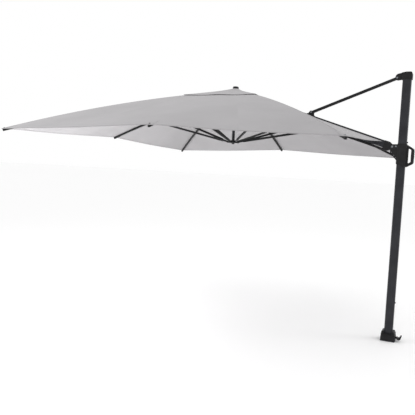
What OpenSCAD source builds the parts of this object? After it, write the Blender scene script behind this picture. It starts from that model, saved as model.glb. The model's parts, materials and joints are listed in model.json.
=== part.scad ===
// Free-arm parasol with a square canopy, millimetres.
// The mast stands at the origin, the arm and the canopy lie towards -X, the handle towards +X.

/* [Canopy] */
// Side of the square canopy
canopy_side = 3000; // [2900:20:3060]
// Height of the rib hinges on the crown
crown_z = 2262; // [2255:1:2270]
// Height of the cloth edge at the middle of a side
mid_edge_z = 1786; // [1776:1:1792]
// Height of the cloth corners
corner_edge_z = 1732; // [1722:1:1740]
// Bending radius of the bowed ribs
bow_r = 12000; // [11000:100:14000]
// Side of the small vent canopy
vent_side = 760; // [700:10:800]
// Thickness of the cloth
cloth_t = 1.5; // [1:0.1:2]

/* [Arm] */
// Distance from the mast axis to the middle of the canopy
arm_reach = 1677; // [1660:1:1700]
// Distance of the arm pivots from the mast axis
pivot_x = 85; // [84:1:88]
// Height of the strut's pivot on the mast cap
strut_z = 2380; // [2376:1:2384]
// Height of the boom's pivot on the carriage
boom_z = 1768; // [1764:1:1772]
// Distance from the arm pivots out to the elbow
elbow_reach = 775; // [760:1:790]
// Width of the boom
boom_w = 40; // [38:0.5:40]
// Depth of the boom
boom_h = 65; // [60:0.5:66]
// Slope of the boom in degrees
boom_slope = 17.6; // [17.4:0.1:17.8]

/* [Mast] */
// Width of the mast
mast_w = 76; // [74:0.5:76]
// Depth of the mast
mast_d = 58; // [56:0.5:60]
// Wall of the mast tube
mast_wall = 3; // [2.5:0.1:4]
// Top of the mast tube
mast_top = 2410; // [2405:1:2415]

/* [Foot] */
// Width of the foot plate
foot_w = 132; // [130:1:140]
// Depth of the foot plate
foot_d = 118; // [116:1:124]
// Pitch of the anchor bolts across the foot
bolt_px = 106; // [104:0.5:108]
// Pitch of the anchor bolts along the foot
bolt_py = 92; // [90:0.5:94]

/* [Hidden] */
$fn = 64;

black = "#232326";
graphite = "#3a3b3f";
steel = "#9a9c9f";
cloth = "#b4b2b4";

half_side = canopy_side / 2;
hub_x = -arm_reach;
gap = 0.3;

// Ribs: 1 runs under the boom, 2, 4, 6 and 8 reach the corners, the others the middles of the sides
rib_h = 20;
rib_w = 17;
rib_wall = 1.5;
rib_pivot_r = 62;
rib_arc_fn = 720;
eye_len = 20;
end_cap = 14;
edge_inset = 8;
stretcher_drop = 18;
stretcher_h = 20;
stretcher_w = 15;
stretcher_wall = 1.4;
runner_z = 1770;
runner_pivot_r = 56;
runner_r = 62;

function alpha(i) = 45 * (i - 1);
function is_corner(i) = i % 2 == 0;
function under_boom(i) = i == 1;
// Height of the cloth over a rib's middle line, more at a corner, where the panels slope away
function cloth_lift(i) = rib_h / 2 + (is_corner(i) ? 2.6 : 1) + cloth_t;
// Radius of the cloth's edge along a rib
function edge_r(i) = is_corner(i) ? half_side * sqrt(2) : half_side;
// Boom axis height above a given radius on the arm side of the crown
function boom_axis_z(r) = boom_z + (arm_reach - pivot_x - r) * tan(boom_slope);
rib_below_boom = boom_h / 2 + rib_h / 2 + 4;
function rib_pivot_z(i) =
    under_boom(i) ? boom_axis_z(rib_pivot_r) - rib_below_boom / cos(boom_slope) : crown_z;
function tip_z(i) =
    under_boom(i) ? boom_axis_z(edge_r(i)) - rib_below_boom / cos(boom_slope)
    : (is_corner(i) ? corner_edge_z : mid_edge_z) - cloth_lift(i);
function chord_dr(i) = edge_r(i) - rib_pivot_r;
function chord_dz(i) = rib_pivot_z(i) - tip_z(i);
function chord(i) = norm([chord_dr(i), chord_dz(i)]);
function chord_slope(i) = atan2(chord_dz(i), chord_dr(i));
function half_arc(i) = under_boom(i) ? 0 : asin(chord(i) / 2 / bow_r);
function rib_len(i) = under_boom(i) ? chord(i) : bow_r * half_arc(i) * PI / 90;
// Slope of the rib at a length s from its pivot
function slope_at(i, s) =
    chord_slope(i) - half_arc(i) + (under_boom(i) ? 0 : s / bow_r * 180 / PI);
// A point a height h over the rib's middle line at the length s, in the rib's own plane
function rib_point(i, s, h = 0) =
    let (a = slope_at(i, s), a0 = slope_at(i, 0))
    under_boom(i) ? [s * cos(a) + h * sin(a), -s * sin(a) + h * cos(a)]
    : [(bow_r + h) * sin(a) - bow_r * sin(a0), (bow_r + h) * cos(a) - bow_r * cos(a0)];

// Where each stretcher is hinged along its rib, so that all of them fold to one runner height
function stretcher_s(i) = under_boom(i) ? 905 : is_corner(i) ? 908.8 : 931.1;
function stretcher_top(i) = rib_point(i, stretcher_s(i), -stretcher_drop);
function stretcher_vec(i) =
    [runner_pivot_r - rib_pivot_r, runner_z - rib_pivot_z(i)] - stretcher_top(i);

// The arm: strut pivot, boom pivot and elbow form an isosceles triangle
elbow_z = (strut_z + boom_z) / 2;
strut_len = norm([elbow_reach, strut_z - elbow_z]);
strut_slope = atan2(strut_z - elbow_z, elbow_reach);
elbow_dx = elbow_reach * cos(boom_slope) + (elbow_z - boom_z) * sin(boom_slope);
elbow_dz = -elbow_reach * sin(boom_slope) + (elbow_z - boom_z) * cos(boom_slope);
head_offset = 100;
boom_len = (arm_reach - pivot_x - head_offset) / cos(boom_slope);
root_start = 25;
root_end = 80;
boom_end_gap = 45;
boom_wall = 3;
strut_h = 26;
strut_w = 25;
pin_r = 5;
pin_gap = 0.05;

// Foot and mast
plate_t = 8;
housing_z = 52;
mast_z0 = 64;
collar_top = 90;
spindle_r = 22;
spindle_top = 380;
mast_r = 12;
cheek_y = boom_w / 2 + 0.8;
cheek_t = 7;
sleeve_wall = 5.5;
glide = 0.5;
carriage_top = boom_z + 23;
carriage_bottom = boom_z - 177;
pedal_x = 70;
pedal_z = 34;

// ---- helpers ----
module round_rect(w, h, r) {
    square([w - 2 * r, h], center = true);
    square([w, h - 2 * r], center = true);
    for (x = [-1, 1], y = [-1, 1])
        translate([x * (w / 2 - r), y * (h / 2 - r)])
            circle(r);
}

module tube_profile(w, h, r, wall) {
    difference() {
        round_rect(w, h, r);
        round_rect(w - 2 * wall, h - 2 * wall, max(r - wall, 0.4));
    }
}

// A straight box section that runs towards -X from x = 0
module beam(len, h, w, r) {
    rotate([0, -90, 0])
        linear_extrude(len)
            round_rect(h, w, r);
}

module hollow_beam(len, h, w, r, wall) {
    rotate([0, -90, 0])
        linear_extrude(len)
            tube_profile(h, w, r, wall);
}

// A cylinder along Y, centred
module across(r, w) {
    rotate([90, 0, 0])
        cylinder(r = r, h = w, center = true);
}

// A flat plate cut from an outline in XZ, between two values of y
module slab(points, y0, y1) {
    translate([0, y1, 0])
        rotate([90, 0, 0])
            linear_extrude(y1 - y0)
                polygon(points);
}

module at_strut() {
    translate([-pivot_x, 0, strut_z])
        rotate([0, -strut_slope, 0])
            children();
}

module at_boom() {
    translate([-pivot_x, 0, boom_z])
        rotate([0, boom_slope, 0])
            children();
}

module at_rib(i) {
    translate([hub_x, 0, 0])
        rotate([0, 0, alpha(i)])
            translate([rib_pivot_r, 0, rib_pivot_z(i)])
                children();
}

// Local -X points from the rib's bracket to the runner
module at_stretcher(i) {
    p = stretcher_top(i);
    v = stretcher_vec(i);
    at_rib(i)
        translate([p[0], 0, p[1]])
            rotate([0, atan2(v[1], -v[0]), 0])
                children();
}

// ---- foot ----
module foot_plate() {
    color(graphite)
        difference() {
            linear_extrude(plate_t)
                round_rect(foot_w, foot_d, 8);
            for (x = [-1, 1], y = [-1, 1])
                translate([x * bolt_px / 2, y * bolt_py / 2, -1])
                    cylinder(d = 10.5, h = plate_t + 2);
        }
}

module foot_housing() {
    color(black)
        difference() {
            intersection() {
                translate([0, 0, plate_t])
                    linear_extrude(housing_z - plate_t)
                        round_rect(foot_w - 4, foot_d - 4, 7);
                slab([[-foot_w / 2, 0], [foot_w / 2, 0], [foot_w / 2 - 2, housing_z - 12],
                      [foot_w / 2 - 8, housing_z], [-foot_w / 2 + 8, housing_z],
                      [-foot_w / 2 + 2, housing_z - 12]], -foot_d, foot_d);
            }
            translate([0, 0, plate_t - 1])
                linear_extrude(housing_z)
                    round_rect(foot_w - 48, foot_d - 46, 5);
            // pockets that leave the bolt heads open to a spanner
            for (x = [-1, 1], y = [-1, 1])
                translate([x * bolt_px / 2, y * bolt_py / 2, plate_t - 1])
                    cylinder(r = 9.5, h = housing_z);
            // mouth for the pedal
            translate([38, -29, plate_t + 4])
                cube([60, 58, housing_z]);
            translate([pedal_x - 16, 0, pedal_z])
                across(4.02, 66);
        }
}

module spindle() {
    color(steel)
        translate([0, 0, plate_t])
            difference() {
                union() {
                    cylinder(r = 30, h = 8);
                    cylinder(r = spindle_r, h = spindle_top - plate_t);
                }
                translate([0, 0, -1])
                    cylinder(r = spindle_r - 4, h = spindle_top);
            }
}

module pedal_axle() {
    color(steel)
        translate([pedal_x - 16, 0, pedal_z])
            across(4, 65.8);
}

// Torsion spring beside the pedal, wound on the axle
module pedal_spring() {
    color(steel)
        for (k = [0:2])
            translate([pedal_x - 16, 14.5 + 2.2 * k, pedal_z])
                rotate([90, 0, 0])
                    rotate_extrude()
                        translate([5.6, 0])
                            circle(1);
}

module pedal_lever() {
    color(graphite)
        translate([pedal_x - 16, 0, pedal_z])
            difference() {
                union() {
                    across(9, 24);
                    slab([[-8, -2], [-8, 3], [0, 8], [24, 6], [38, -2], [46, 2], [52, 16],
                          [64, 14], [60, -4], [52, -17], [38, -19], [20, -10], [0, -8]],
                         -12, 12);
                    slab([[24, 5], [38, -3], [46, 1], [53, 15], [63, 13], [59, -5], [51, -16],
                          [38, -18], [24, -11]], -26, 26);
                    // rounded toe
                    translate([58.5, 0, 13])
                        across(6.5, 53);
                    // latch tongue that drops into the collar's groove
                    slab([[-8, -2], [-15, 23], [-10, 25], [0, 7]], -6, 6);
                }
                across(4 + pin_gap, 60);
            }
}

// ---- mast ----
// Turning shoulder block that holds the mast's lower end
module mast_collar() {
    z0 = housing_z + 1;
    color(black)
        difference() {
            intersection() {
                slab([[-61, z0], [61, z0], [61, z0 + 14], [52, collar_top - 4],
                      [46, collar_top], [-50, collar_top], [-57, collar_top - 5],
                      [-61, z0 + 18]], -60, 60);
                rotate([0, 0, 90])
                    slab([[-54, z0], [54, z0], [54, z0 + 5], [44, z0 + 15], [42, collar_top],
                          [-42, collar_top], [-44, z0 + 15], [-54, z0 + 5]], -70, 70);
            }
            translate([0, 0, housing_z])
                cylinder(r = spindle_r + pin_gap, h = 80);
            // seat of the mast tube
            translate([0, 0, mast_z0])
                linear_extrude(60)
                    round_rect(mast_w, mast_d, mast_r);
            // open front and back, so that the shoulders stand only beside the mast
            for (s = [-1, 1])
                translate([-mast_w / 2 + 3, s > 0 ? mast_d / 2 - 5 : -mast_d / 2 - 25, mast_z0 + 0.5])
                    cube([mast_w - 6, 30, 60]);
            // round groove in which the pedal's latch runs
            translate([0, 0, z0 - 1])
                difference() {
                    cylinder(r = 51, h = 9);
                    translate([0, 0, -1])
                        cylinder(r = 31, h = 12);
                }
        }
}

module spindle_bushes() {
    color("ivory")
        for (z = [mast_z0 + 4, spindle_top - 44])
            translate([0, 0, z])
                difference() {
                    linear_extrude(40)
                        round_rect(mast_w - 2 * mast_wall, mast_d - 2 * mast_wall,
                                   mast_r - mast_wall);
                    translate([0, 0, -1])
                        cylinder(r = spindle_r + pin_gap, h = 50);
                }
}

module mast_tube() {
    color(graphite)
        translate([0, 0, mast_z0])
            linear_extrude(mast_top - mast_z0)
                tube_profile(mast_w, mast_d, mast_r, mast_wall);
}

module mast_cap() {
    wall = 4;
    color(black)
        difference() {
            union() {
                slab([[-40, 2366], [44, 2366], [44, 2416], [38, 2428], [26, 2430], [-8, 2430],
                      [-46, 2423], [-46, 2366]], -mast_d / 2 - wall, mast_d / 2 + wall);
                for (s = [-1, 1])
                    slab([[-45, 2366], [-45, 2423], [-84, 2414], [-97, 2402], [-103, 2384],
                          [-100, 2370], [-92, 2364], [-76, 2362], [-58, 2366]],
                         s > 0 ? strut_w / 2 + 0.8 : -strut_w / 2 - 8,
                         s > 0 ? strut_w / 2 + 8 : -strut_w / 2 - 0.8);
            }
            translate([0, 0, 2300])
                linear_extrude(mast_top - 2300 + 0.5)
                    round_rect(mast_w + 0.2, mast_d + 0.2, mast_r);
            translate([-pivot_x, 0, strut_z])
                across(pin_r, 80);
        }
}

module stop_knobs() {
    color(black)
        for (z = [1810, 353])
            translate([mast_w / 2, 0, z])
                rotate([0, 90, 0]) {
                    cylinder(r = 6.5, h = 7);
                    translate([0, 0, 7])
                        cylinder(r1 = 6.5, r2 = 4.5, h = 2, $fn = 48);
                }
}

module strut_pin() {
    color(steel)
        translate([-pivot_x, 0, strut_z]) {
            across(pin_r, strut_w + 16);
            for (s = [-1, 1])
                translate([0, s * (strut_w / 2 + 10), 0])
                    across(8, 4);
        }
}

// ---- strut ----
module strut_tube() {
    color(black)
        at_strut()
            translate([-30, 0, 0])
                hollow_beam(strut_len - 60, strut_h, strut_w, 7, 2.5);
}

module eye_end(reach, plug, h, w, eye_r) {
    difference() {
        union() {
            across(eye_r, w);
            beam(reach, h - 2, w, 3);
        }
        across(pin_r + pin_gap, w + 2);
    }
}

module strut_top_end() {
    color(black)
        at_strut()
            eye_end(30, 20, strut_h, strut_w, 13);
}

module strut_eye() {
    color(black)
        at_strut()
            translate([-strut_len, 0, 0])
                rotate([0, 180, 0])
                    eye_end(30, 20, strut_h, strut_w, 13);
}

// ---- boom ----
module boom_tube() {
    color(graphite)
        at_boom()
            translate([-root_end, 0, 0])
                hollow_beam(boom_len - root_end - boom_end_gap, boom_h, boom_w, 8, boom_wall);
}

module boom_root() {
    color(black)
        at_boom()
            difference() {
                union() {
                    across(20, boom_w);
                    slab([[0, -19], [0, 19], [-root_start, 30], [-root_start - 8, 35],
                          [-root_end, 35], [-root_end, -36], [-root_end - 5, -37],
                          [-root_end - 5, -56], [-root_start - 15, -52], [-10, -30]],
                         -boom_w / 2, boom_w / 2);
                }
                across(6.1, boom_w + 2);
            }
}

module boom_saddle() {
    top = boom_h / 2;
    color(black)
        at_boom()
            translate([-elbow_dx, 0, 0])
                difference() {
                    union() {
                        translate([-35, -23, top])
                            cube([70, 46, 5]);
                        for (s = [-1, 1])
                            slab([[-35, top + 2], [-30, 16], [30, 16], [35, top + 2]],
                                 s > 0 ? boom_w / 2 : -boom_w / 2 - 3,
                                 s > 0 ? boom_w / 2 + 3 : -boom_w / 2);
                        for (s = [-1, 1])
                            slab([[-28, top + 2], [-16, elbow_dz + 9], [-9, elbow_dz + 14],
                                  [9, elbow_dz + 14], [16, elbow_dz + 9], [28, top + 2]],
                                 s > 0 ? strut_w / 2 + 0.8 : -strut_w / 2 - 6.8,
                                 s > 0 ? strut_w / 2 + 6.8 : -strut_w / 2 - 0.8);
                    }
                    translate([0, 0, elbow_dz])
                        across(pin_r, 60);
                }
}

module saddle_pin() {
    color(steel)
        at_boom()
            translate([-elbow_dx, 0, elbow_dz]) {
                across(pin_r, strut_w + 13.6);
                for (s = [-1, 1])
                    translate([0, s * (strut_w / 2 + 8.8), 0])
                        across(8, 4);
            }
}

module boom_head() {
    color(black)
        at_boom()
            translate([-boom_len, 0, 0])
                difference() {
                    union() {
                        across(23, boom_w + 4);
                        slab([[0, -23], [boom_end_gap, -boom_h / 2], [boom_end_gap, boom_h / 2],
                              [22, 28], [0, 23]], -boom_w / 2, boom_w / 2);
                    }
                    across(6.1, boom_w + 10);
                }
}

// ---- carriage ----
module carriage_sleeve() {
    outer_w = mast_w + 2 * (glide + sleeve_wall);
    color(black)
        difference() {
            union() {
                translate([0, 0, boom_z - 150])
                    linear_extrude(carriage_top - boom_z + 150)
                        round_rect(outer_w, mast_d + 2 * (glide + sleeve_wall), 14);
                // lower end, drawn down to a point behind the handle
                intersection() {
                    translate([0, 0, carriage_bottom])
                        linear_extrude(40)
                            round_rect(outer_w, mast_d + 2 * (glide + sleeve_wall), 14);
                    slab([[-30, boom_z - 140], [10, carriage_bottom], [44, carriage_bottom],
                          [60, boom_z - 140]], -60, 60);
                }
                for (s = [-1, 1])
                    slab([[-40, carriage_top], [-88, carriage_top], [-97, boom_z + 17],
                          [-103, boom_z + 6], [-101, boom_z - 50], [-96, boom_z - 58],
                          [-40, boom_z - 124]],
                         s > 0 ? cheek_y : -cheek_y - cheek_t,
                         s > 0 ? cheek_y + cheek_t : -cheek_y);
            }
            translate([0, 0, carriage_bottom - 1])
                linear_extrude(carriage_top - carriage_bottom + 2)
                    round_rect(mast_w + 2 * glide, mast_d + 2 * glide, mast_r + glide);
            // groove for the lower glide
            translate([0, 0, boom_z - 156])
                linear_extrude(6)
                    round_rect(mast_w + 7, mast_d + 7, 13);
            translate([-pivot_x, 0, boom_z])
                across(6, 80);
        }
}

// Nylon pads between the sleeve and the mast
module carriage_glides() {
    color(black)
        for (z = [carriage_top + 0.05, boom_z - 155.95])
            translate([0, 0, z])
                difference() {
                    linear_extrude(z > boom_z ? 5 : 5.9)
                        round_rect(mast_w + 6.8, mast_d + 6.8, 12.9);
                    translate([0, 0, -1])
                        linear_extrude(10)
                            round_rect(mast_w + 2 * gap, mast_d + 2 * gap, mast_r + gap);
                }
}

module carriage_handle() {
    x0 = mast_w / 2 + glide + sleeve_wall;
    color(black)
        difference() {
            slab([[x0, carriage_top - 4], [52, carriage_top - 5], [94, boom_z - 8],
                  [101, boom_z - 14], [105, boom_z - 24], [107, boom_z - 130],
                  [104, boom_z - 142], [97, boom_z - 149], [x0 + 6, carriage_bottom + 1],
                  [x0, carriage_bottom + 1]], -17, 17);
            slab([[57, boom_z - 16], [62, boom_z - 12], [76, boom_z - 20], [81, boom_z - 26],
                  [82, boom_z - 126], [78, boom_z - 133], [62, boom_z - 143],
                  [57, boom_z - 138]], -18, 18);
            // channel for the lock lever
            translate([81, -8, boom_z - 128])
                cube([14, 16, 104]);
            translate([86, 0, boom_z - 32])
                across(2.5, 40);
        }
}

module carriage_bolts() {
    color(steel)
        for (s = [-1, 1]) {
            translate([-pivot_x, s * (cheek_y + cheek_t / 2 + 0.2), boom_z])
                across(6, cheek_t - 0.4);
            translate([-pivot_x, s * (cheek_y + cheek_t + 2), boom_z])
                across(9.5, 4);
            translate([-52, s * (cheek_y + cheek_t + 2), boom_z + 4])
                across(7, 4);
        }
    color(steel)
        translate([86, 0, boom_z - 32])
            across(2.5, 34);
}

module carriage_screws() {
    color(steel)
        for (s = [-1, 1], p = [[-88, -50], [-66, -76], [-48, -98]])
            translate([p[0], s * (cheek_y + cheek_t + 1), boom_z + p[1]])
                across(3.5, 2);
}

module lock_lever() {
    color(graphite)
        difference() {
            slab([[80.5, boom_z - 30], [83, boom_z - 26], [88, boom_z - 26], [91, boom_z - 32],
                  [87, boom_z - 40], [85.5, boom_z - 122], [80.5, boom_z - 122],
                  [79.5, boom_z - 80]], -7, 7);
            translate([86, 0, boom_z - 32])
                across(2.5 + pin_gap, 40);
        }
}

// ---- crown ----
hub_r = 50;
ear_t = 4.5;
ear_gap = rib_w / 2 - 0.5 + 0.4;
module crown_hub() {
    color(black)
        difference() {
            union() {
                translate([hub_x, 0, crown_z - 22])
                    cylinder(r = hub_r, h = 40);
                for (i = [2:8])
                    at_rib(i)
                        for (s = [-1, 1])
                            slab([[-24, -12], [4, -12], [11, -5], [11, 7], [5, 11], [-24, 11]],
                                 s > 0 ? ear_gap : -ear_gap - ear_t,
                                 s > 0 ? ear_gap + ear_t : -ear_gap);
                // low ears for the rib under the boom
                at_rib(1)
                    for (s = [-1, 1])
                        slab([[-34, 10], [-34, 40], [-14, 40], [-12, 14], [6, 10], [10, 0],
                              [6, -9], [-6, -9]],
                             s > 0 ? ear_gap : -ear_gap - ear_t,
                             s > 0 ? ear_gap + ear_t : -ear_gap);
                // cheeks for the boom head
                for (s = [-1, 1])
                    translate([hub_x, 0, boom_axis_z(head_offset)])
                        slab([[30, -20], [30, 30], [100, 20], [118, 10], [120, -8], [108, -20]],
                             s > 0 ? boom_w / 2 + 3 : -boom_w / 2 - 8,
                             s > 0 ? boom_w / 2 + 8 : -boom_w / 2 - 3);
            }
            for (i = [1:8])
                at_rib(i)
                    across(3, 40);
            translate([hub_x + head_offset, 0, boom_axis_z(head_offset)])
                across(6, 80);
        }
}

module crown_hinge_pin() {
    color(steel)
        translate([hub_x + head_offset, 0, boom_axis_z(head_offset)])
            across(6, boom_w + 20);
}

module rib_pins() {
    color(steel)
        for (i = [1:8])
            at_rib(i)
                across(3, 2 * (ear_gap + ear_t));
}

module crown_cap() {
    color(black)
        translate([hub_x, 0, 0]) {
            translate([0, 0, crown_z + 18])
                cylinder(r = 9, h = 30);
            translate([0, 0, crown_z + 48])
                cylinder(r = 30, h = 13);
            translate([0, 0, crown_z + 61])
                cylinder(r1 = 30, r2 = 25, h = 6, $fn = 64);
        }
}

// ---- runner ----
module centre_pole() {
    color(graphite)
        translate([hub_x, 0, runner_z + 16])
            difference() {
                cylinder(r = 14, h = crown_z - 26 - runner_z - 16);
                translate([0, 0, -1])
                    cylinder(r = 12.4, h = crown_z - runner_z);
            }
}

module runner_hub() {
    color(black)
        difference() {
            translate([hub_x, 0, runner_z - 9]) {
                cylinder(r = 30, h = 25);
                cylinder(r = runner_r, h = 14);
            }
            for (i = [1:8])
                translate([hub_x, 0, runner_z - 20])
                    rotate([0, 0, alpha(i)])
                        translate([20, -3.6, 0])
                            cube([60, 7.2, 40]);
        }
}

module runner_tip() {
    color(black)
        translate([hub_x, 0, runner_z - 9])
            mirror([0, 0, 1]) {
                cylinder(r = 16, h = 6);
                translate([0, 0, 6])
                    cylinder(r1 = 14, r2 = 3, h = 9, $fn = 48);
            }
}

// ---- ribs and stretchers ----
module rib_sweep(i, s0, s1, wall = 0) {
    if (under_boom(i))
        rotate([0, chord_slope(i), 0])
            translate([s1, 0, 0])
                if (wall > 0) hollow_beam(s1 - s0, rib_h, rib_w, 3, wall);
                else beam(s1 - s0, rib_h, rib_w, 3);
    else
        translate([-bow_r * sin(slope_at(i, 0)), 0, -bow_r * cos(slope_at(i, 0))])
            rotate([90, 0, 0])
                rotate([0, 0, 90 - slope_at(i, s1)])
                    rotate_extrude(angle = slope_at(i, s1) - slope_at(i, s0), $fn = rib_arc_fn)
                        translate([bow_r, 0])
                            if (wall > 0) tube_profile(rib_h, rib_w, 3, wall);
                            else round_rect(rib_h, rib_w, 3);
}

module rib(i) {
    end = rib_len(i) - edge_inset;
    a = stretcher_top(i);
    color(black) {
        // hinge eye
        difference() {
            union() {
                across(9, rib_w - 1);
                rotate([0, slope_at(i, 0), 0])
                    translate([eye_len, 0, 0])
                        beam(eye_len, 15, rib_w - 2, 2);
            }
            across(3 + pin_gap, 30);
        }
        rib_sweep(i, eye_len + 0.02, end - end_cap, rib_wall);
        rib_sweep(i, end - end_cap + 0.02, end);
        // bracket for the stretcher, under the rib
        translate([a[0], 0, a[1]])
            rotate([0, slope_at(i, stretcher_s(i)), 0])
                difference() {
                    union() {
                        for (s = [-1, 1])
                            slab([[-18, 7.9], [-18, 3], [-8, -8], [8, -8], [18, 3], [18, 7.9]],
                                 s > 0 ? 6.4 : -8.6, s > 0 ? 8.6 : -6.4);
                        translate([-18, -8.6, 6])
                            cube([36, 17.2, 1.9]);
                    }
                    across(2.55, 40);
                }
    }
    color(steel)
        translate([a[0], 0, a[1]])
            across(2.5, 17.2);
}

module stretcher(i) {
    e = norm(stretcher_vec(i));
    color(black)
        at_stretcher(i) {
            difference() {
                union() {
                    across(5.5, 10);
                    beam(34, 11, 10, 1.5);
                }
                across(2.5 + pin_gap, 30);
            }
            translate([-34.02, 0, 0])
                hollow_beam(e - 34.04 - 60, stretcher_h, stretcher_w, 3, stretcher_wall);
            difference() {
                union() {
                    translate([-(e - 60), 0, 0])
                        beam(60, 12, 6, 1.5);
                    translate([-e, 0, 0])
                        across(6, 6);
                }
                translate([-e, 0, 0])
                    across(2.2, 20);
            }
        }
}

// ---- cloth ----
vent_top = 2309;
vent_edge = 2208;
vent_r0 = 26;
slit = 26;
open_at = 0.18;
rows = 12;

// Cloth line over a rib at the fraction t of its length, side is -1, 0 or 1 for the slit
function cloth_line(i, t, side = 0) =
    let (
        a = alpha(i),
        p = rib_point(i, t * rib_len(i), cloth_lift(i)),
        r = under_boom(i) ? rib_pivot_r + t * (half_side - rib_pivot_r) : rib_pivot_r + p[0],
        z = under_boom(i) ? boom_axis_z(r) + boom_h / 2 / cos(boom_slope) - 10
            : rib_pivot_z(i) + p[1]
    )
    [hub_x + r * cos(a) - side * slit * sin(a), r * sin(a) + side * slit * cos(a), z];

function next_rib(i, d) = (i - 1 + d + 8) % 8 + 1;

// A point of the cloth between rib i and its neighbour, at the fraction t out and s across
function cloth_point(i, t, s) =
    let (
        d = s < 0 ? -1 : 1,
        j = next_rib(i, d),
        own = cloth_line(i, t, under_boom(i) ? d : 0),
        other = cloth_line(j, t, under_boom(j) ? -d : 0)
    )
    own * (1 - abs(s)) + other * abs(s);

function vent_line(i, q) =
    let (
        edge = vent_side / 2 * (is_corner(i) ? sqrt(2) : 1),
        r = vent_r0 + q * (edge - vent_r0),
        z = vent_edge + (vent_top - vent_edge) * pow(1 - q, 1.4)
    )
    [hub_x + r * cos(alpha(i)), r * sin(alpha(i)), z];

function vent_point(i, q, s) =
    let (j = next_rib(i, s < 0 ? -1 : 1))
    vent_line(i, q) * (1 - abs(s)) + vent_line(j, q) * abs(s);

// A closed sheet under a grid of points, n + 1 rows of m + 1 points
module sheet(grid, n, m) {
    top = [for (r = grid) for (p = r) p];
    low = [for (p = top) p - [0, 0, cloth_t]];
    k = (n + 1) * (m + 1);
    w = m + 1;
    faces = concat(
        [for (a = [0:n - 1]) for (b = [0:m - 1]) for (f = [0, 1])
            f == 0 ? [a * w + b, a * w + b + 1, (a + 1) * w + b]
            : [a * w + b + 1, (a + 1) * w + b + 1, (a + 1) * w + b]],
        [for (a = [0:n - 1]) for (b = [0:m - 1]) for (f = [0, 1])
            f == 0 ? [k + a * w + b, k + (a + 1) * w + b, k + a * w + b + 1]
            : [k + a * w + b + 1, k + (a + 1) * w + b, k + (a + 1) * w + b + 1]],
        [for (b = [0:m - 1]) [b, k + b, k + b + 1, b + 1]],
        [for (b = [0:m - 1]) [n * w + b + 1, k + n * w + b + 1, k + n * w + b, n * w + b]],
        [for (a = [0:n - 1]) [(a + 1) * w, k + (a + 1) * w, k + a * w, a * w]],
        [for (a = [0:n - 1]) [a * w + m, k + a * w + m, k + (a + 1) * w + m, (a + 1) * w + m]]
    );
    polyhedron(concat(top, low), faces, convexity = 4);
}

module canopy_gore(i) {
    seam = 0.497;
    color(cloth) {
        for (part = under_boom(i) ? [[-seam, 0], [0, seam]] : [[-seam, seam]])
            let (m = under_boom(i) ? 3 : 6)
            sheet([for (a = [0:rows]) [for (b = [0:m])
                let (
                    s = part[0] + (part[1] - part[0]) * b / m,
                    s_side = under_boom(i) && abs(s) < 0.001 ? sign(part[0] + part[1]) * 0.0001 : s
                )
                cloth_point(i, open_at + (1 - open_at) * a / rows, s_side)]], rows, m);
        sheet([for (a = [0:8]) [for (b = [0:4])
            vent_point(i, a / 8, -seam + 2 * seam * b / 4)]], 8, 4);
    }
}

foot_plate();
foot_housing();
spindle();
pedal_axle();
pedal_spring();
pedal_lever();
mast_collar();
spindle_bushes();
mast_tube();
mast_cap();
stop_knobs();
strut_pin();
strut_tube();
strut_top_end();
strut_eye();
boom_tube();
boom_root();
boom_saddle();
saddle_pin();
boom_head();
carriage_sleeve();
carriage_glides();
carriage_handle();
carriage_bolts();
carriage_screws();
lock_lever();
crown_hub();
crown_hinge_pin();
rib_pins();
crown_cap();
centre_pole();
runner_hub();
runner_tip();
for (i = [1:8]) {
    at_rib(i) rib(i);
    stretcher(i);
    canopy_gore(i);
}
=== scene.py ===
"""A free-arm parasol: canopy cloth, trim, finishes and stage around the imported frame."""

import json
import math

import bmesh
import bpy
from mathutils import Matrix, Vector


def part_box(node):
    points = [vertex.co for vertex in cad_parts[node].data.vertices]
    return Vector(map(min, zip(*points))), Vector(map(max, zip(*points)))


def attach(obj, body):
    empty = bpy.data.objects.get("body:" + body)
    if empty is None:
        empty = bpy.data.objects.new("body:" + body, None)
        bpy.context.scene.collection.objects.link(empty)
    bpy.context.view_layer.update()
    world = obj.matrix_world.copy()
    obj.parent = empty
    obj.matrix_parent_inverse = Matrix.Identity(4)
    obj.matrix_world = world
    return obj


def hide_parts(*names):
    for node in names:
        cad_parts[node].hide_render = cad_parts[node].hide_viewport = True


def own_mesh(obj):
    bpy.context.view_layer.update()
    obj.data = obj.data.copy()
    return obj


bl_info = {
    "name": "Free-arm parasol",
    "version": (1, 0, 0),
    "blender": (4, 5, 0),
    "location": "View3D > Sidebar > Parasol",
    "description": "Makes the canopy, trim, finishes and stage of a free-arm parasol",
    "category": "Object",
}

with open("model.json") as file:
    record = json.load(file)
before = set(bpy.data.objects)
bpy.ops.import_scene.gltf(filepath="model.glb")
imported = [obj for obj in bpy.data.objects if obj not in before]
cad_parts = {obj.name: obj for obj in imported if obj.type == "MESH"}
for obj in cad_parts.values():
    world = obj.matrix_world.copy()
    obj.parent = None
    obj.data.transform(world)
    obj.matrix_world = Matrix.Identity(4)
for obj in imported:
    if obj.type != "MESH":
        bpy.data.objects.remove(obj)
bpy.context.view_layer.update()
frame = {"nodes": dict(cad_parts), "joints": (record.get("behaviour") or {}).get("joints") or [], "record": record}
JOINTS = {joint["name"]: joint for joint in frame["joints"]}
RIBS = range(1, 9)

# The crown's axis, halfway between the hinges of two opposite ribs
HUB_X = (JOINTS["rib_hinge_1"]["pos_m"][0] + JOINTS["rib_hinge_5"]["pos_m"][0]) / 2
HINGE_R = JOINTS["rib_hinge_1"]["pos_m"][0] - HUB_X

# Rows and half columns of points in a gore, and in a piece of the vent cover
GORE_ROWS, GORE_COLUMNS = 44, 14
VENT_ROWS, VENT_COLUMNS = 20, 8

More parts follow.
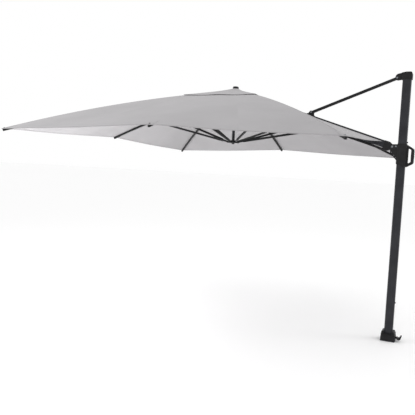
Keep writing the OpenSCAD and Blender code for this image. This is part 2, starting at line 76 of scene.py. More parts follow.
# The hem: how far it runs past the edge, stands over the cloth and adds to its thickness
HEM_ROWS = 3
HEM_END = 1.0005
HEM_LIFT = 0.0006
HEM_EXTRA = 0.0014

# The seam tape: where it ends along the rib, its half width, lift and thickness
SEAM_END = 0.985
SEAM_HALF = 0.009
SEAM_LIFT = 0.0004
SEAM_THICKNESS = 0.0012

# The rib-end patch, its rivet and the pocket, placed back from the edge along the rib
PATCH_LENGTH = 0.11
PATCH_END = 0.999
PATCH_HALF = 0.032
PATCH_LIFT = 0.0012
PATCH_THICKNESS = 0.0032
RIVET_BACK = 0.024
RIVET_RADIUS = 0.0065
RIVET_HEIGHT = 0.004
POCKET_BACK = 0.0495
POCKET_SIZE = (0.085, 0.0185, 0.0215, 0.0012, 0.0035)

# The webbing loops: their places along a rib, and their size
LOOP_PLACES = (0.34, 0.8)
LOOP_SIZE = (0.025, 0.0178, 0.0208, 0.0011, 0.0035)


def new_object(name, mesh):
    """An object for a mesh whose place is already in its points."""
    obj = bpy.data.objects.new(name, mesh)
    bpy.context.scene.collection.objects.link(obj)
    return obj


def deselect():
    """Clears the selection, which the loaded frame and every new primitive leave full."""
    bpy.ops.object.select_all(action="DESELECT")


def activate(obj):
    """Makes obj the only selected and the active object."""
    deselect()
    obj.select_set(True)
    bpy.context.view_layer.objects.active = obj


def apply_modifiers(obj):
    """Applies every modifier of obj in order."""
    activate(obj)
    for modifier in list(obj.modifiers):
        bpy.ops.object.modifier_apply(modifier=modifier.name)


def smooth(obj, degrees=35):
    """Smooth shading that keeps edges sharper than the angle."""
    activate(obj)
    bpy.ops.object.shade_smooth_by_angle(angle=math.radians(degrees))


# ---------------------------------------------------------------- canopy geometry


def angle_of(i):
    """Direction of rib i round the crown, rib 1 towards the mast."""
    return math.radians(45 * (i - 1))


def is_corner(i):
    """True for a rib that reaches a corner of the square."""
    return i % 2 == 0


def radial(i, r, z, side=0.0):
    """A point r out along rib i at the height z, side metres to its left."""
    a = angle_of(i)
    x = HUB_X + r * math.cos(a) - side * math.sin(a)
    return Vector((x, r * math.sin(a) + side * math.cos(a), z))


def canopy():
    """The canopy's settings."""
    return bpy.context.scene.parasol_canopy


def edge_radius(i):
    """Distance of the cloth's edge from the crown's axis along rib i."""
    return canopy().half_side * (math.sqrt(2) if is_corner(i) else 1)


def boom_top(r):
    """Height of the boom's top face at a distance from the crown's axis."""
    low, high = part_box("boom_tube")
    slope = math.tan(canopy().boom_slope)
    top_at_inner_end = high[2]
    return top_at_inner_end - (r - (low[0] - HUB_X)) * slope


def cloth_lift(i):
    """Height of the cloth over a rib's middle, more at a corner, where the panels fall away."""
    return canopy().cloth_lift + (0.0016 if is_corner(i) else 0)


def rib_curve(i, t, lift):
    """A point over the bowed middle line of rib i at the fraction t of its length."""
    settings = canopy()
    hinge_z = JOINTS[f"rib_hinge_{i}"]["pos_m"][2]
    edge_z = settings.corner_z if is_corner(i) else settings.middle_z
    run = edge_radius(i) - HINGE_R
    drop = hinge_z - (edge_z - cloth_lift(i))
    half = math.asin(math.hypot(run, drop) / 2 / settings.bow_radius)
    start = math.atan2(drop, run) - half
    a = start + 2 * half * t
    r = (settings.bow_radius + lift) * math.sin(a) - settings.bow_radius * math.sin(start)
    z = (settings.bow_radius + lift) * math.cos(a) - settings.bow_radius * math.cos(start)
    return HINGE_R + r, hinge_z + z


def cloth_line(i, t, side=0):
    """The cloth over rib i at the fraction t; rib 1's cloth lies along the boom's two flanks."""
    settings = canopy()
    if i == 1:
        r = HINGE_R + t * (settings.half_side - HINGE_R)
        return radial(1, r, boom_top(r) - settings.below_boom_top, side * settings.slit)
    r, z = rib_curve(i, t, cloth_lift(i))
    return radial(i, r, z)


def neighbour(i, step):
    """The rib before or after rib i."""
    return (i - 1 + step) % 8 + 1


def cloth_point(i, t, s, side):
    """A point of the cloth from rib i towards its neighbour on that side, s from 0 to 1."""
    j = neighbour(i, side)
    near = cloth_line(i, t, side if i == 1 else 0)
    far = cloth_line(j, t, -side if j == 1 else 0)
    sag = canopy().sag * t * (1 - 0.55 * t**8) * math.sin(math.pi * s) ** 2
    return near.lerp(far, s) - Vector((0, 0, sag))


def vent_line(i, q):
    """The vent cover over rib i, q from 0 at the cap to 1 at its edge."""
    settings = canopy()
    edge = settings.vent_half * (math.sqrt(2) if is_corner(i) else 1)
    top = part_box("crown_cap")[0][2] + settings.cap_stem
    low = settings.vent_edge_z - (0 if is_corner(i) or i == 1 else settings.vent_dip)
    r = settings.vent_hole + q * (edge - settings.vent_hole)
    inwards = max(1 - q, 0)
    return radial(i, r, low + (top - low) * (0.88 * inwards + 0.12 * inwards**5))


def vent_point(i, q, s, side):
    """A point of the vent cover from rib i towards its neighbour, s from 0 to 1."""
    near = vent_line(i, q)
    far = vent_line(neighbour(i, side), q)
    sag = 0.006 * q * math.sin(math.pi * s) ** 2
    return near.lerp(far, s) - Vector((0, 0, sag))


def sheet_mesh(name, rows):
    """A one-layer mesh from rows of points, with a UV map in metres along the cloth."""
    mesh = bpy.data.meshes.new(name)
    columns = len(rows[0])
    points = [p for row in rows for p in row]
    faces = [
        (a * columns + b, a * columns + b + 1, (a + 1) * columns + b + 1, (a + 1) * columns + b)
        for a in range(len(rows) - 1)
        for b in range(columns - 1)
    ]
    mesh.from_pydata([tuple(p) for p in points], [], faces)
    out = [0.0]
    middle = columns // 2
    for a in range(1, len(rows)):
        out.append(out[-1] + (rows[a][middle] - rows[a - 1][middle]).length)
    across = []
    for row in rows:
        run = [0.0]
        for b in range(1, columns):
            run.append(run[-1] + (row[b] - row[b - 1]).length)
        across.append([x - run[middle] for x in run])
    uv = mesh.uv_layers.new(name="cloth")
    for loop in mesh.loops:
        a, b = divmod(loop.vertex_index, columns)
        uv.data[loop.index].uv = (across[a][b], out[a])
    if mesh.polygons[0].normal.z < 0:
        mesh.flip_normals()
    return mesh


def area_of(mesh):
    """Area of a one-layer mesh."""
    return sum(face.area for face in mesh.polygons)


def thicken(obj, thickness):
    """Gives a sheet its thickness, downwards from the modelled face, and applies it."""
    solid = obj.modifiers.new("thickness", "SOLIDIFY")
    solid.thickness = thickness
    solid.offset = -1
    solid.use_even_offset = False
    apply_modifiers(obj)


def spread(count):
    """Evenly spaced fractions from 0 to 1."""
    return [k / count for k in range(count + 1)]


def gore_rows(point, start, end, i, side, count, columns):
    """Rows of points of half a gore, from the rib's line to the seam with its neighbour."""
    return [
        [point(i, start + (end - start) * t, 0.5 * s, side) for s in spread(columns)]
        for t in spread(count)
    ]


def both_sides(point, start, end, i, count, columns):
    """Rows right across a gore, from one seam over the rib to the other."""
    left = gore_rows(point, start, end, i, -1, count, columns)
    right = gore_rows(point, start, end, i, 1, count, columns)
    return [list(reversed(a)) + b[1:] for a, b in zip(left, right)]


def fold_with_rib(obj, i, body=None):
    """The piece swings with its rib."""
    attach(obj, body or f"rib_arm_{i}")
    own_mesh(obj)


def place(obj, matrix):
    """Puts a piece modelled at the origin where it belongs, with the place in its mesh."""
    activate(obj)
    obj.data.transform(matrix)
    obj.data.update()


def axes_at(origin, x, z):
    """A placement whose X runs along x and whose Z is as near z as that allows."""
    x = Vector(x).normalized()
    y = Vector(z).cross(x).normalized()
    turn = Matrix((x, y, x.cross(y))).transposed().to_4x4()
    return Matrix.Translation(origin) @ turn


def rib_frame(i, t):
    """Placement on the middle line of rib i, X pointing outwards along it."""
    if i == 1:
        slope = canopy().boom_slope
        hinge = JOINTS["rib_hinge_1"]["pos_m"]
        run = t * (canopy().half_side - HINGE_R)
        origin = radial(1, HINGE_R + run, hinge[2] - run * math.tan(slope))
        return axes_at(origin, (math.cos(slope), 0, -math.sin(slope)), (0, 0, 1))
    here = radial(i, *rib_curve(i, t, 0))
    ahead = radial(i, *rib_curve(i, t + 0.01, 0))
    return axes_at(here, ahead - here, (0, 0, 1))


def band(name, length, width, height, wall, bevel, closed=False):
    """A flat-sided sleeve along X with rounded long edges, its far end open or closed."""
    deselect()
    bpy.ops.mesh.primitive_cube_add(size=1)
    obj = bpy.context.object
    obj.name = name
    obj.data.transform(Matrix.Diagonal((length, width, height, 1)))
    bpy.ops.object.mode_set(mode="EDIT")
    mesh = bmesh.from_edit_mesh(obj.data)
    for edge in mesh.edges:
        along = edge.verts[0].co - edge.verts[1].co
        edge.select_set(abs(along.x) > 0.5 * length)
    bmesh.update_edit_mesh(obj.data)
    bpy.ops.mesh.bevel(offset=bevel, segments=4)
    mesh = bmesh.from_edit_mesh(obj.data)
    for face in mesh.faces:
        face.select_set(face.normal.x < -0.9 or face.normal.x > 0.9 and not closed)
    bmesh.update_edit_mesh(obj.data)
    bpy.ops.mesh.delete(type="ONLY_FACE")
    bpy.ops.mesh.select_all(action="SELECT")
    bpy.ops.uv.cube_project(cube_size=1.0)
    bpy.ops.object.mode_set(mode="OBJECT")
    obj.data.uv_layers[0].name = "cloth"
    solid = obj.modifiers.new("wall", "SOLIDIFY")
    solid.thickness = wall
    solid.offset = 1
    apply_modifiers(obj)
    smooth(obj)
    return obj


def socket_head(name, radius, height):
    """A round screw head along Z with a hexagon socket and a rounded rim."""
    deselect()
    bpy.ops.mesh.primitive_cylinder_add(vertices=36, radius=radius, depth=height)
    obj = bpy.context.object
    obj.name = name
    bpy.ops.object.mode_set(mode="EDIT")
    bpy.ops.mesh.select_all(action="DESELECT")
    mesh = bmesh.from_edit_mesh(obj.data)
    top = max(mesh.faces, key=lambda face: face.calc_center_median().z)
    for edge in top.edges:
        edge.select_set(True)
    bmesh.update_edit_mesh(obj.data)
    bpy.ops.mesh.bevel(offset=height * 0.25, segments=3)
    bpy.ops.mesh.select_all(action="DESELECT")
    mesh = bmesh.from_edit_mesh(obj.data)
    top = max(mesh.faces, key=lambda face: (face.calc_center_median().z, len(face.verts)))
    top.select_set(True)
    bmesh.update_edit_mesh(obj.data)
    bpy.ops.mesh.inset(thickness=radius * 0.32)
    mesh = bmesh.from_edit_mesh(obj.data)
    socket = [v for v in mesh.verts if v.select]
    for vert in socket:
        a = math.atan2(vert.co.y, vert.co.x)
        fold = (a % (math.pi / 3)) - math.pi / 6
        reach = radius * 0.46 / math.cos(fold)
        vert.co.x, vert.co.y = reach * math.cos(a), reach * math.sin(a)
    bmesh.update_edit_mesh(obj.data)
    bpy.ops.mesh.extrude_region_move(TRANSFORM_OT_translate={"value": (0, 0, -height * 0.55)})
    bpy.ops.object.mode_set(mode="OBJECT")
    smooth(obj)
    return obj


def strip_rows(i, start, end, half_width, lift, count):
    """Rows of points of a tape along rib i, on top of the cloth."""
    rows = []
    for t in spread(count):
        t = start + (end - start) * t
        row = []
        for side in (-1, 1):
            near = cloth_point(i, t, 0, side)
            far = cloth_point(i, t, 1, side)
            s = half_width / max((far - near).length, 0.05)
            row.append(cloth_point(i, t, s, side) + Vector((0, 0, lift)))
        row.insert(1, cloth_line(i, t) + Vector((0, 0, lift)))
        rows.append(row)
    return rows


# ---------------------------------------------------------------- materials


def linear(hex_colour):
    """An sRGB hex colour as linear RGBA."""
    out = []
    for k in (1, 3, 5):
        c = int(hex_colour[k : k + 2], 16) / 255
        out.append(c / 12.92 if c <= 0.04045 else ((c + 0.055) / 1.055) ** 2.4)
    return (*out, 1.0)


def add(tree, kind, settings=None, links=None):
    """Adds a node, sets its properties and inputs, and links its inputs to other outputs."""
    node = tree.nodes.new(kind)
    for key, value in (settings or {}).items():
        if key in node.inputs:
            node.inputs[key].default_value = value
        else:
            setattr(node, key, value)
    for key, source in (links or {}).items():
        tree.links.new(source, node.inputs[key])
    return node


def blank(name):
    """A new node material with its shader, as (material, tree, shader)."""
    material = bpy.data.materials.new(name)
    material.use_nodes = True
    tree = material.node_tree
    return material, tree, tree.nodes["Principled BSDF"]


def mottled(tree, vector, scale, dark, light, detail=4.0):
    """A colour that drifts between two close tones."""
    noise = add(
        tree, "ShaderNodeTexNoise", {"Scale": scale, "Detail": detail}, {"Vector": vector}
    )
    ramp = add(tree, "ShaderNodeValToRGB", links={"Fac": noise.outputs["Fac"]})
    ramp.color_ramp.elements[0].position = 0.35
    ramp.color_ramp.elements[0].color = linear(dark)
    ramp.color_ramp.elements[1].position = 0.65
    ramp.color_ramp.elements[1].color = linear(light)
    return ramp.outputs["Color"]


def powder_coat(name, dark, light, roughness):
    """Powder-coated aluminium: a baked fine-texture polyester skin, so a satin, pebbled face."""
    material, tree, shader = blank(name)
    where = add(tree, "ShaderNodeTexCoord").outputs["Object"]
    tree.links.new(mottled(tree, where, 9.0, dark, light), shader.inputs["Base Color"])
    # the real grain is about 0.3 mm; it is drawn at 2 mm so that it shows
    grain = add(
        tree, "ShaderNodeTexNoise", {"Scale": 500.0, "Detail": 3.0}, {"Vector": where}
    )
    rub = add(tree, "ShaderNodeTexNoise", {"Scale": 14.0, "Detail": 6.0}, {"Vector": where})
    gloss = add(
        tree,
        "ShaderNodeMapRange",
        {"From Min": 0.3, "From Max": 0.7, "To Min": roughness - 0.08, "To Max": roughness + 0.1},
        {"Value": rub.outputs["Fac"]},
    )
    tree.links.new(gloss.outputs["Result"], shader.inputs["Roughness"])
    bump = add(
        tree,
        "ShaderNodeBump",
        {"Strength": 0.25, "Distance": 0.0004},
        {"Height": grain.outputs["Fac"]},
    )
    tree.links.new(bump.outputs["Normal"], shader.inputs["Normal"])
    shader.inputs["Specular IOR Level"].default_value = 0.25
    return material


def moulded_nylon(name, dark, light):
    """Glass-filled nylon from a spark-eroded mould: matt and evenly grained."""
    material, tree, shader = blank(name)
    where = add(tree, "ShaderNodeTexCoord").outputs["Object"]
    tree.links.new(mottled(tree, where, 25.0, dark, light), shader.inputs["Base Color"])
    # grain of about 1 mm
    cells = add(tree, "ShaderNodeTexVoronoi", {"Scale": 900.0}, {"Vector": where})
    bump = add(
        tree,
        "ShaderNodeBump",
        {"Strength": 0.35, "Distance": 0.0003},
        {"Height": cells.outputs["Distance"]},
    )
    tree.links.new(bump.outputs["Normal"], shader.inputs["Normal"])
    shader.inputs["Roughness"].default_value = 0.55
    shader.inputs["Specular IOR Level"].default_value = 0.25
    return material


def plated_steel(name):
    """Zinc-plated steel: a bright metal with a cloudy passivated bloom."""
    material, tree, shader = blank(name)
    where = add(tree, "ShaderNodeTexCoord").outputs["Object"]
    tree.links.new(
        mottled(tree, where, 60.0, "#6f7276", "#8c8e92"), shader.inputs["Base Color"]
    )
    cloud = add(tree, "ShaderNodeTexNoise", {"Scale": 90.0, "Detail": 5.0}, {"Vector": where})
    gloss = add(
        tree,
        "ShaderNodeMapRange",
        {"From Min": 0.3, "From Max": 0.7, "To Min": 0.25, "To Max": 0.5},
        {"Value": cloud.outputs["Fac"]},
    )
    tree.links.new(gloss.outputs["Result"], shader.inputs["Roughness"])
    shader.inputs["Metallic"].default_value = 1.0
    return material


def canvas(name, dark, light, thread=0.004):
    """Spun polyester canvas: a plain weave, matt, with a soft bloom at glancing angles."""
    material, tree, shader = blank(name)
    uv = add(tree, "ShaderNodeUVMap", {"uv_map": "cloth"}).outputs["UV"]
    tone = mottled(tree, uv, 2.2, dark, light, 6.0)
    # real threads are 0.5 mm apart; they are drawn 4 mm apart so that the weave shows
    waves = []
    for direction in ("X", "Y"):
        waves.append(
            add(
                tree,
                "ShaderNodeTexWave",
                {
                    "wave_type": "BANDS",
                    "bands_direction": direction,
                    "Scale": 0.314 / thread,
                    "Distortion": 0.6,
                    "Detail": 1.0,
                },
                {"Vector": uv},
            ).outputs["Fac"]
        )
    weave = add(tree, "ShaderNodeMath", {"operation": "MULTIPLY"})
    tree.links.new(waves[0], weave.inputs[0])
    tree.links.new(waves[1], weave.inputs[1])
    slub = add(tree, "ShaderNodeTexNoise", {"Scale": 160.0, "Detail": 3.0}, {"Vector": uv})
    height = add(tree, "ShaderNodeMath", {"operation": "ADD"})
    tree.links.new(weave.outputs[0], height.inputs[0])
    tree.links.new(slub.outputs["Fac"], height.inputs[1])
    # where the weave and slub height is low the colour is made a little darker: painted shade in the hollows
    # between the threads
    shade = add(tree, "ShaderNodeMix", {"data_type": "RGBA", "blend_type": "MULTIPLY"})
    shade.inputs[0].default_value = 0.12
    tree.links.new(tone, shade.inputs[6])
    ramp = add(tree, "ShaderNodeValToRGB", links={"Fac": height.outputs[0]})
    ramp.color_ramp.elements[0].color = (0.55, 0.55, 0.55, 1)
    ramp.color_ramp.elements[1].color = (1, 1, 1, 1)
    tree.links.new(ramp.outputs["Color"], shade.inputs[7])
    tree.links.new(shade.outputs[2], shader.inputs["Base Color"])
    bump = add(
        tree,
        "ShaderNodeBump",
        {"Strength": 0.2, "Distance": 0.0006},
        {"Height": height.outputs[0]},
    )
    tree.links.new(bump.outputs["Normal"], shader.inputs["Normal"])
    shader.inputs["Roughness"].default_value = 0.92
    shader.inputs["Sheen Weight"].default_value = 0.15
    shader.inputs["Sheen Roughness"].default_value = 0.5
    shader.inputs["Specular IOR Level"].default_value = 0.25
    return material


def material_named(name):
    """A finish by its name, made on first use."""
    if name in bpy.data.materials:
        return bpy.data.materials[name]
    colours = bpy.context.scene.parasol_finish
    makers = {
        "anthracite powder coat": lambda n: powder_coat(n, colours.frame_dark, colours.frame, 0.5),
        "black powder coat": lambda n: powder_coat(n, "#101012", "#18181a", 0.5),
        "moulded black nylon": lambda n: moulded_nylon(n, "#121213", "#1a1a1c"),
        "natural nylon": lambda n: moulded_nylon(n, "#cfcbbf", "#dedad0"),
        "grip rubber": lambda n: moulded_nylon(n, "#131314", "#1c1c1e"),
        "zinc-plated steel": plated_steel,
        "polyester canvas": lambda n: canvas(n, colours.cloth_dark, colours.cloth),
        "canvas hem": lambda n: canvas(n, colours.hem_dark, colours.cloth_dark, 0.006),
        "black webbing": lambda n: canvas(n, "#161617", "#222224", 0.006),
    }
    return makers[name](name)


SLOT_FINISH = {
    "coated_frame": "anthracite powder coat",
    "coated_black": "black powder coat",
    "moulded_black": "moulded black nylon",
    "nylon": "natural nylon",
    "zinc_steel": "zinc-plated steel",
    "cloth": "polyester canvas",
}


def finish(obj, name):
    """Gives obj one material."""
    obj.data.materials.clear()
    obj.data.materials.append(material_named(name))


# ---------------------------------------------------------------- settings


class ParasolCanopy(bpy.types.PropertyGroup):
    """Sizes of the canopy's cloth."""

    half_side: bpy.props.FloatProperty(
        name="Half side", description="Half the side of the square", default=1.5, unit="LENGTH"
    )
    middle_z: bpy.props.FloatProperty(
        name="Side height", description="Cloth height mid-side", default=1.786, unit="LENGTH"
    )
    corner_z: bpy.props.FloatProperty(
        name="Corner height", description="Cloth height at a corner", default=1.732, unit="LENGTH"
    )
    bow_radius: bpy.props.FloatProperty(
        name="Rib bow", description="Radius of the bent ribs", default=12.0, unit="LENGTH"
    )
    cloth_lift: bpy.props.FloatProperty(
        name="Lift", description="Cloth above the rib's middle", default=0.0125, unit="LENGTH"
    )
    boom_slope: bpy.props.FloatProperty(
        name="Boom slope", description="Slope of the boom", default=math.radians(17.6),
        subtype="ANGLE",
    )
    below_boom_top: bpy.props.FloatProperty(
        name="Below boom", description="Cloth below the boom's top", default=0.010, unit="LENGTH"
    )
    slit: bpy.props.FloatProperty(
        name="Slit", description="Half the slit for the boom", default=0.0235, unit="LENGTH"
    )
    sag: bpy.props.FloatProperty(
        name="Sag", description="Dip of the cloth between ribs", default=0.014, unit="LENGTH"
    )
    opening: bpy.props.FloatProperty(
        name="Opening", description="Where the cloth starts along a rib", default=0.18
    )
    vent_half: bpy.props.FloatProperty(
        name="Vent half side", description="Half the vent cover", default=0.38, unit="LENGTH"
    )
    vent_edge_z: bpy.props.FloatProperty(
        name="Vent edge", description="Height of the vent's edge", default=2.193, unit="LENGTH"
    )
    vent_dip: bpy.props.FloatProperty(
        name="Vent dip", description="Fall of the vent's edge mid-side", default=0.001,
        unit="LENGTH",
    )
    vent_hole: bpy.props.FloatProperty(
        name="Vent hole", description="Hole under the cap", default=0.026, unit="LENGTH"
    )
    cap_stem: bpy.props.FloatProperty(
        name="Cap stem", description="Height of the cap's stem", default=0.029, unit="LENGTH"
    )
    thickness: bpy.props.FloatProperty(
        name="Cloth", description="Thickness of the cloth", default=0.0011, unit="LENGTH"
    )
    hem: bpy.props.FloatProperty(
        name="Hem", description="Width of the hem", default=0.022, unit="LENGTH"
    )
    gather: bpy.props.FloatProperty(
        name="Gather", description="Share of the width left when closed", default=0.11
    )


class ParasolFinish(bpy.types.PropertyGroup):
    """Colours of the object."""

    frame: bpy.props.StringProperty(
        name="Frame", description="Anthracite coat, lighter tone", default="#2b2c30"
    )
    frame_dark: bpy.props.StringProperty(
        name="Frame dark", description="Anthracite coat, darker tone", default="#222327"
    )
    cloth: bpy.props.StringProperty(
        name="Cloth", description="Canvas, lighter tone", default="#a4a2a4"
    )
    hem_dark: bpy.props.StringProperty(
        name="Hem", description="Canvas in the hems and seams, darker tone", default="#939193"
    )
    cloth_dark: bpy.props.StringProperty(
        name="Cloth dark", description="Canvas, darker tone", default="#9e9c9e"
    )


class ParasolStage(bpy.types.PropertyGroup):
    """Camera and light."""

    place: bpy.props.FloatVectorProperty(
        name="Camera", description="Place of the camera", default=(0.528, -4.671, 1.467),
        subtype="TRANSLATION",
    )
    yaw: bpy.props.FloatProperty(
        name="Yaw", description="Turn to the left of +Y", default=0.392, subtype="ANGLE"
    )
    pitch: bpy.props.FloatProperty(
        name="Pitch", description="Tilt above the horizon", default=-0.073, subtype="ANGLE"
    )
    roll: bpy.props.FloatProperty(
        name="Roll", description="Turn about the view", default=0.054, subtype="ANGLE"
    )
    lens: bpy.props.FloatProperty(
        name="Lens", description="Focal length in millimetres", default=43.35
    )
    key: bpy.props.FloatProperty(name="Key", description="Power of the key light", default=150.0)
    sky: bpy.props.FloatProperty(name="Sky", description="Strength of the sky", default=1.0)


# ---------------------------------------------------------------- operators


class PARASOL_OT_stage(bpy.types.Operator):
    """Adds the camera, the lights and the floor"""

    bl_idname = "parasol.stage"
    bl_label = "Stage"

    def execute(self, context):
        stage = context.scene.parasol_stage
        cy, sy = math.cos(stage.yaw), math.sin(stage.yaw)
        cp, sp = math.cos(stage.pitch), math.sin(stage.pitch)
        forward = Vector((-sy * cp, cy * cp, sp))
        right = Vector((cy, sy, 0))
        up = right.cross(forward)
        cr, sr = math.cos(stage.roll), math.sin(stage.roll)
        right, up = right * cr + up * sr, up * cr - right * sr
        deselect()
        bpy.ops.object.camera_add()
        camera = context.object
        turn = Matrix((right, up, -forward)).transposed().to_4x4()
        camera.matrix_world = Matrix.Translation(stage.place) @ turn
        camera.data.lens = stage.lens
        camera.data.sensor_width = 36
        camera.data.shift_x = -0.1125
        camera.data.shift_y = 0.0047
        context.scene.camera = camera

        world = bpy.data.worlds.new("soft studio")
        context.scene.world = world
        world.use_nodes = True
        sky = world.node_tree.nodes["Background"]
        sky.inputs["Color"].default_value = (1, 1, 1, 1)
        sky.inputs["Strength"].default_value = stage.sky
        context.scene.view_settings.view_transform = "Standard"
        for name, place, size, power in (
            ("left", (-6.0, -2.5, 3.4), 2.0, stage.key * 0.6),
            ("below left", (-3.9, -1.5, 0.5), 1.2, stage.key * 0.35),
            ("right", (4.5, 1.5, 3.0), 2.0, stage.key * 0.4),
        ):
            deselect()
            bpy.ops.object.light_add(type="AREA", location=place)
            lamp = context.object
            lamp.name = name
            lamp.data.energy = power
            lamp.data.size = size
            aim = Vector((-0.9, 0, 1.4)) - Vector(place)
            lamp.rotation_euler = aim.to_track_quat("-Z", "Y").to_euler()

        deselect()
        bpy.ops.mesh.primitive_plane_add(size=400, location=(0, 0, -0.001))
        floor = context.object
        floor.name = "floor"
        material, tree, shader = blank("pale floor")
        shader.inputs["Base Color"].default_value = (0.97, 0.97, 0.97, 1)
        shader.inputs["Roughness"].default_value = 0.9
        floor.data.materials.append(material)
        return {"FINISHED"}


class PARASOL_OT_finishes(bpy.types.Operator):
    """Gives every part of the frame its finish"""

    bl_idname = "parasol.finishes"
    bl_label = "Finishes"

    def execute(self, context):
        slots = {part["node"]: part["material_slot"] for part in frame["record"]["subparts"]}
        for name, obj in frame["nodes"].items():
            obj.data.materials.clear()
            obj.data.materials.append(material_named(SLOT_FINISH[slots[name]]))
        return {"FINISHED"}


class PARASOL_OT_canopy(bpy.types.Operator):
    """Stretches the canopy's cloth over the ribs, one gore to a rib"""

    bl_idname = "parasol.canopy"
    bl_label = "Canopy cloth"

    def execute(self, context):
        settings = canopy()
        for i in RIBS:
            start = settings.opening
            if i == 1:
                halves = [
                    (
                        f"canopy_cloth_1_{word}",
                        gore_rows(cloth_point, start, 1, 1, side, GORE_ROWS, GORE_COLUMNS),
                    )
                    for word, side in (("near", -1), ("far", 1))
                ]
            else:
                rows = both_sides(cloth_point, start, 1, i, GORE_ROWS, GORE_COLUMNS)
                halves = [(f"canopy_cloth_{i}", rows)]
            for name, rows in halves:
                mesh = sheet_mesh(name, rows)
                obj = new_object(name, mesh)
                area = area_of(mesh)
                across = (rows[-1][-1] - rows[-1][0]).length
                middle = len(rows[0]) // 2
                length = sum(
                    (a[middle] - b[middle]).length for a, b in zip(rows[1:], rows)
                )
                thicken(obj, settings.thickness)
                smooth(obj)
                finish(obj, "polyester canvas")
                fold_with_rib(obj, i)
                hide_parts(f"canopy_gore_{i}")
                across = max(across, area / length)
        return {"FINISHED"}


class PARASOL_OT_vent(bpy.types.Operator):
    """Adds the vent cover over the opening at the crown"""

    bl_idname = "parasol.vent"
    bl_label = "Vent cover"

    def execute(self, context):
        for i in RIBS:
            rows = both_sides(vent_point, 0, 1, i, VENT_ROWS, VENT_COLUMNS)
            mesh = sheet_mesh(f"vent_cover_{i}", rows)
            obj = new_object(f"vent_cover_{i}", mesh)
            thicken(obj, canopy().thickness)
            smooth(obj)
            finish(obj, "polyester canvas")
            # the flap over the boom stays on the boom, which its rib leaves as it folds
            fold_with_rib(obj, i, "boom" if i == 1 else None)
        return {"FINISHED"}


class PARASOL_OT_hems(bpy.types.Operator):
    """Sews the folded hem along the canopy's and the vent cover's edges"""

    bl_idname = "parasol.hems"
    bl_label = "Hems"

    def execute(self, context):
        settings = canopy()
        for i in RIBS:
            for word, point, columns, body in (
                ("hem", cloth_point, GORE_COLUMNS, None),
                ("vent_hem", vent_point, VENT_COLUMNS, "boom" if i == 1 else None),
            ):
                length = edge_radius(i) if word == "hem" else settings.vent_half
                start = 1 - settings.hem / length
                if word == "hem" and i == 1:
                    parts = [
                        (
                            f"{name}_1_{end}",
                            gore_rows(point, start, HEM_END, 1, side, HEM_ROWS, columns),
                        )
                        for name, end, side in ((word, "near", -1), (word, "far", 1))
                    ]
                else:
                    rows = both_sides(point, start, HEM_END, i, HEM_ROWS, columns)
                    parts = [(f"{word}_{i}", rows)]
                for name, rows in parts:
                    rows = [[p + Vector((0, 0, HEM_LIFT)) for p in row] for row in rows]
                    obj = new_object(name, sheet_mesh(name, rows))
                    thicken(obj, settings.thickness + HEM_EXTRA)
                    smooth(obj)
                    finish(obj, "canvas hem")
                    fold_with_rib(obj, i, body)
        return {"FINISHED"}


class PARASOL_OT_seams(bpy.types.Operator):
    """Lays the felled seams over the ribs"""

    bl_idname = "parasol.seams"
    bl_label = "Seams"

    def execute(self, context):
        for i in filter(is_corner, RIBS):
            rows = strip_rows(i, canopy().opening, SEAM_END, SEAM_HALF, SEAM_LIFT, 60)
            obj = new_object(f"seam_{i}", sheet_mesh(f"seam_{i}", rows))
            thicken(obj, SEAM_THICKNESS)
            smooth(obj)
            finish(obj, "canvas hem")
            fold_with_rib(obj, i)
        return {"FINISHED"}


class PARASOL_OT_pockets(bpy.types.Operator):
    """Adds the reinforced pockets that take the rib ends"""

    bl_idname = "parasol.pockets"
    bl_label = "Rib-end pockets"

    def execute(self, context):
        for i in RIBS:
            if i != 1:
                patch = PATCH_LENGTH / edge_radius(i)
                rows = strip_rows(i, 1 - patch, PATCH_END, PATCH_HALF, PATCH_LIFT, 6)
                obj = new_object(f"tip_patch_{i}", sheet_mesh(f"tip_patch_{i}", rows))
                thicken(obj, PATCH_THICKNESS)
                smooth(obj)
                finish(obj, "polyester canvas")
                fold_with_rib(obj, i)
                rivet = socket_head(f"tip_rivet_{i}", RIVET_RADIUS, RIVET_HEIGHT)
                frame_there = rib_frame(i, 1 - RIVET_BACK / edge_radius(i))
                up = Vector((0, 0, cloth_lift(i) + RIVET_HEIGHT / 2))
                place(rivet, frame_there @ Matrix.Translation(up))
                if is_corner(i):
                    finish(rivet, "zinc-plated steel")
                else:
                    finish(rivet, "moulded black nylon")
                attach(rivet, f"rib_arm_{i}")
                pocket = band(f"tip_pocket_{i}", *POCKET_SIZE, closed=True)
                place(pocket, rib_frame(i, 1 - POCKET_BACK / edge_radius(i)))
                finish(pocket, "black webbing")
                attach(pocket, f"rib_arm_{i}")
        return {"FINISHED"}


class PARASOL_OT_rib_loops(bpy.types.Operator):
    """Adds the webbing loops that hold the cloth down to the ribs"""

    bl_idname = "parasol.rib_loops"
    bl_label = "Rib loops"

    def execute(self, context):
        for i in RIBS:
            for k, t in enumerate(LOOP_PLACES):
                loop = band(f"rib_loop_{i}_{k + 1}", *LOOP_SIZE)
                place(loop, rib_frame(i, t))
                finish(loop, "black webbing")
                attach(loop, f"rib_arm_{i}")
        return {"FINISHED"}


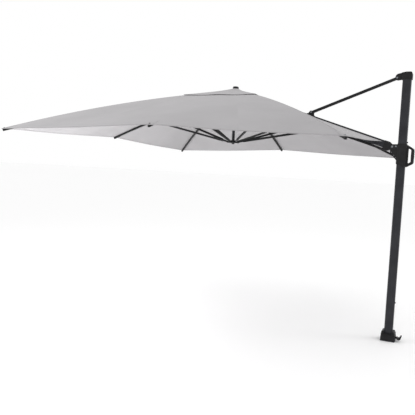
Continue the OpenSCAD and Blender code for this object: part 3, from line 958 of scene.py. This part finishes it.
class PARASOL_OT_screw_heads(bpy.types.Operator):
    """Puts socket heads on the pivots of the arm, the carriage and the crown"""

    bl_idname = "parasol.screw_heads"
    bl_label = "Screw heads"

    def execute(self, context):
        for node, body, radius in (
            ("strut_pin", "mast", 0.0084),
            ("saddle_pin", "boom", 0.0084),
            ("crown_hinge_pin", "crown", 0.0085),
        ):
            low, high = (Vector(c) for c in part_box(node))
            middle = (low + high) / 2
            for word, side in (("near", -1), ("far", 1)):
                obj = socket_head(f"{node}_head_{word}", radius, 0.0055)
                y = (low.y if side < 0 else high.y) - side * 0.0018
                place(obj, axes_at((middle.x, y, middle.z), (1, 0, 0), (0, side, 0)))
                finish(obj, "zinc-plated steel")
                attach(obj, body)
        low, high = (Vector(c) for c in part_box("carriage_sleeve"))
        pivot = Vector(JOINTS["strut_fold"]["pos_m"])
        for word, x, z, radius in (
            ("pivot", pivot.x, high.z - 0.023, 0.0099),
            ("fixing", -0.052, high.z - 0.019, 0.0074),
        ):
            for end, side in (("near", -1), ("far", 1)):
                obj = socket_head(f"carriage_{word}_head_{end}", radius, 0.005)
                y = side * (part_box("carriage_bolts")[1][1] - 0.0016)
                place(obj, axes_at((x, y, z), (1, 0, 0), (0, side, 0)))
                finish(obj, "zinc-plated steel")
                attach(obj, "carriage")
        return {"FINISHED"}


class PARASOL_OT_grip(bpy.types.Operator):
    """Adds the soft pad with finger grooves on the handle's bar"""

    bl_idname = "parasol.grip"
    bl_label = "Grip pad"

    def execute(self, context):
        low, high = (Vector(c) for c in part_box("carriage_handle"))
        length, width, depth = 0.088, 0.030, 0.006
        deselect()
        bpy.ops.mesh.primitive_cube_add(size=1)
        obj = context.object
        obj.name = "grip_pad"
        obj.data.transform(Matrix.Diagonal((depth, width, length, 1)))
        bpy.ops.object.mode_set(mode="EDIT")
        bpy.ops.mesh.select_all(action="SELECT")
        bpy.ops.mesh.subdivide(number_cuts=24)
        mesh = bmesh.from_edit_mesh(obj.data)
        for vert in mesh.verts:
            if vert.co.x > 0:
                across = 1 - (2 * vert.co.y / width) ** 4
                along = 1 - (2 * vert.co.z / length) ** 8
                groove = 0.0011 * math.cos(vert.co.z / length * 8 * math.pi)
                vert.co.x = depth / 2 * max(across * along, 0) + groove * across * along
        bmesh.update_edit_mesh(obj.data)
        bpy.ops.object.mode_set(mode="OBJECT")
        activate(obj)
        bpy.ops.object.shade_smooth()
        middle = (low.z + high.z) / 2 + 0.018
        place(obj, axes_at((high.x - 0.0012, 0, middle), (1, 0, 0.008), (0, 0, 1)))
        finish(obj, "grip rubber")
        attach(obj, "carriage")
        return {"FINISHED"}


CLASSES = (
    ParasolCanopy,
    ParasolFinish,
    ParasolStage,
    PARASOL_OT_stage,
    PARASOL_OT_finishes,
    PARASOL_OT_canopy,
    PARASOL_OT_vent,
    PARASOL_OT_hems,
    PARASOL_OT_seams,
    PARASOL_OT_pockets,
    PARASOL_OT_rib_loops,
    PARASOL_OT_screw_heads,
    PARASOL_OT_grip,
)
STEPS = (
    "stage",
    "finishes",
    "canopy",
    "vent",
    "hems",
    "seams",
    "pockets",
    "rib_loops",
    "screw_heads",
    "grip",
)


class PARASOL_PT_panel(bpy.types.Panel):
    """Lists the steps that make the parasol"""

    bl_label = "Parasol"
    bl_space_type = "VIEW_3D"
    bl_region_type = "UI"
    bl_category = "Parasol"

    def draw(self, context):
        for step in STEPS:
            self.layout.operator(f"parasol.{step}")


def register():
    """Registers the classes and hangs the settings on the scene."""
    for item in (*CLASSES, PARASOL_PT_panel):
        bpy.utils.register_class(item)
    bpy.types.Scene.parasol_canopy = bpy.props.PointerProperty(type=ParasolCanopy)
    bpy.types.Scene.parasol_finish = bpy.props.PointerProperty(type=ParasolFinish)
    bpy.types.Scene.parasol_stage = bpy.props.PointerProperty(type=ParasolStage)


def unregister():
    """Takes away what register added."""
    del bpy.types.Scene.parasol_stage
    del bpy.types.Scene.parasol_finish
    del bpy.types.Scene.parasol_canopy
    for item in reversed((*CLASSES, PARASOL_PT_panel)):
        bpy.utils.unregister_class(item)


def main():
    """Makes everything."""
    register()
    for step in STEPS:
        getattr(bpy.ops.parasol, step)()


if __name__ == "__main__":
    main()
